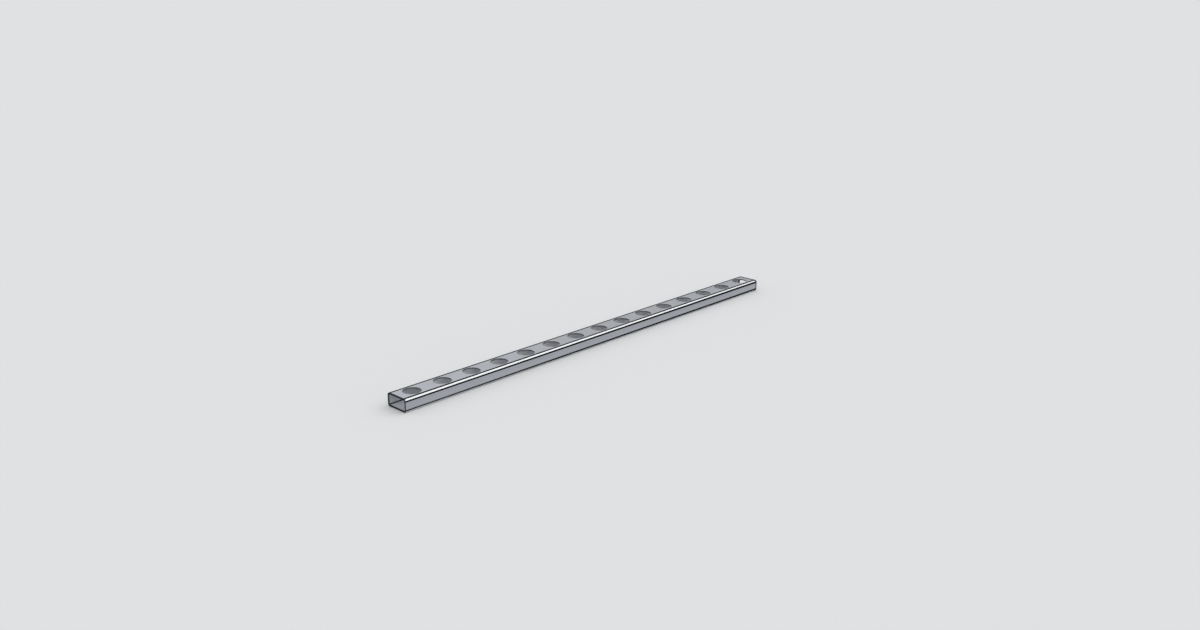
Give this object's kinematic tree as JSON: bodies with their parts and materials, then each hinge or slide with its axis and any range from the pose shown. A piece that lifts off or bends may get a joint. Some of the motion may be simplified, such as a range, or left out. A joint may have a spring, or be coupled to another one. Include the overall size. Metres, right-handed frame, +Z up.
{
  "type": "perforated rectangular tube",
  "caption": "Length of rectangular steel hollow section with rounded corners, open cut ends and a row of large round holes along one wide wall, used as framing stock.",
  "frame": {"origin": "middle of the underside, half-way along the tube, on the surface that it lies on", "axes": "+X along the tube, towards the end that is far away in the picture; +Y across the perforated wall, away from the viewer; +Z up, out of the perforated wall"},
  "size_m": [1.2, 0.06, 0.03],
  "materials": {
    "tube_steel": "satin cold-rolled mill finish with a fine lengthwise grain, cool light grey"
  },
  "bodies": {
    "root": {"tube": "tube_steel"}
  },
  "joints": []
}
